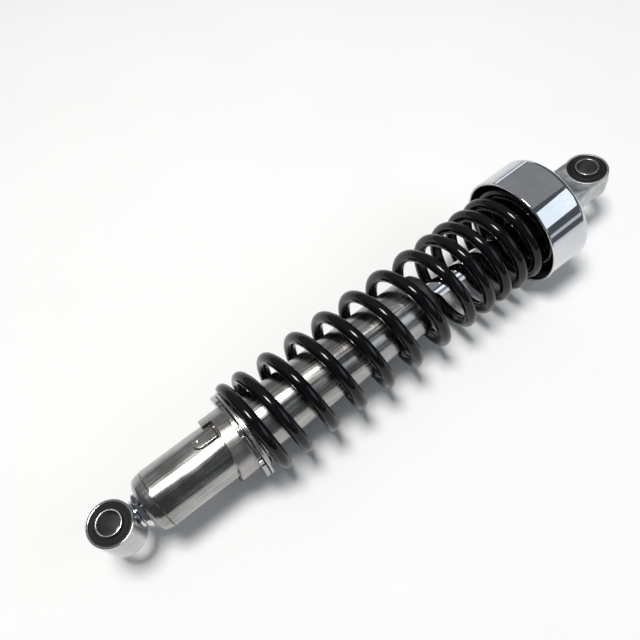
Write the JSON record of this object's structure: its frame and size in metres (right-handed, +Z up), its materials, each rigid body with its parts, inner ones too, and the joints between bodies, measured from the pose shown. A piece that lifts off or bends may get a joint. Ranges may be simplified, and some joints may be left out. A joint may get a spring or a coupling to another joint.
{
  "type": "motorcycle rear shock absorber",
  "caption": "Rear suspension shock: chromed damper body with stepped preload collar, black progressive coil spring, bright upper cover and rubber-bushed eyes.",
  "frame": {"origin": "middle of the bounding box's underside, on the surface that the shock lies on", "axes": "+X along the damper from the lower eye to the upper eye, +Z up, the lower eye's bolt axis parallel to Z"},
  "size_m": [0.369, 0.0698, 0.0698],
  "materials": {
    "chrome": "mirror chrome plate",
    "polished_steel": "polished steel with fine lengthwise streaks",
    "cast_alloy": "satin cast aluminium",
    "plain_steel": "machined steel",
    "zinc_plate": "bright zinc plate",
    "bronze": "bearing bronze",
    "black_paint": "gloss black powder coat",
    "rubber": "matt moulded rubber",
    "black_plastic": "black moulded cap"
  },
  "bodies": {
    "damper_body": {"lower_eye": "chrome", "lower_rubber_bush": "rubber", "lower_jam_nut": "chrome", "damper_base_cap": "polished_steel", "damper_body_tube": "polished_steel", "foot_valve_body": "plain_steel", "foot_valve_disc": "zinc_plate", "foot_valve_pin": "plain_steel", "pressure_cylinder": "plain_steel", "rod_guide": "plain_steel", "guide_bush": "bronze", "oil_seal": "rubber", "seal_washer": "zinc_plate", "tube_end_cap": "black_plastic", "dust_wiper": "rubber"},
    "lower_bush_sleeve": {"lower_sleeve": "zinc_plate"},
    "spring_perch": {"lower_spring_seat": "zinc_plate", "coil_spring": "black_paint"},
    "preload_collar": {"cam_collar": "polished_steel", "spanner_ring": "polished_steel"},
    "upper_perch": {"upper_spring_seat": "zinc_plate", "upper_isolator": "rubber"},
    "rod_assembly": {"piston_rod": "chrome", "piston_nut": "plain_steel", "rebound_shims": "zinc_plate", "piston": "plain_steel", "piston_band": "bronze", "compression_shims": "zinc_plate", "backing_washer": "plain_steel", "topout_bumper": "rubber", "bump_stop": "rubber", "bump_stop_washer": "zinc_plate", "rod_lock_nut": "zinc_plate", "top_cover": "chrome", "upper_eye": "cast_alloy", "upper_rubber_bush": "rubber"},
    "upper_bush_sleeve": {"upper_sleeve": "zinc_plate"}
  },
  "joints": [
    {"name": "lower_bush_twist", "type": "hinge", "parent": "damper_body", "child": "lower_bush_sleeve", "pos_m": [-0.1721, 0, 0.03489], "axis": [0, 0, 1], "range_deg": [-12, 12], "stiffness_Nm_per_rad": 20},
    {"name": "preload_lift", "type": "slide", "parent": "damper_body", "child": "spring_perch", "axis": [1, 0, 0], "range_m": [0, 0.0058], "deforming": ["coil_spring"]},
    {"name": "preload_turn", "type": "hinge", "parent": "spring_perch", "child": "preload_collar", "pos_m": [-0.0971, 0, 0.03489], "axis": [-1, 0, 0], "range_deg": [0, 144.5], "deforming": ["coil_spring"]},
    {"name": "damper_stroke", "type": "slide", "parent": "damper_body", "child": "upper_perch", "axis": [-1, 0, 0], "range_m": [0, 0.07], "stiffness_N_per_m": 20000, "springref_m": -0.015, "deforming": ["coil_spring"]},
    {"name": "rod_swivel", "type": "hinge", "parent": "upper_perch", "child": "rod_assembly", "pos_m": [0.1709, 0, 0.03489], "axis": [1, 0, 0], "continuous": true},
    {"name": "upper_bush_twist", "type": "hinge", "parent": "rod_assembly", "child": "upper_bush_sleeve", "pos_m": [0.1709, 0, 0.03489], "axis": [0, 0.1149, 0.9934], "range_deg": [-12, 12], "stiffness_Nm_per_rad": 20}
  ],
  "couplings": [
    {"joint": "preload_turn", "follows": "preload_lift", "rad_per_m": 433.32}
  ]
}
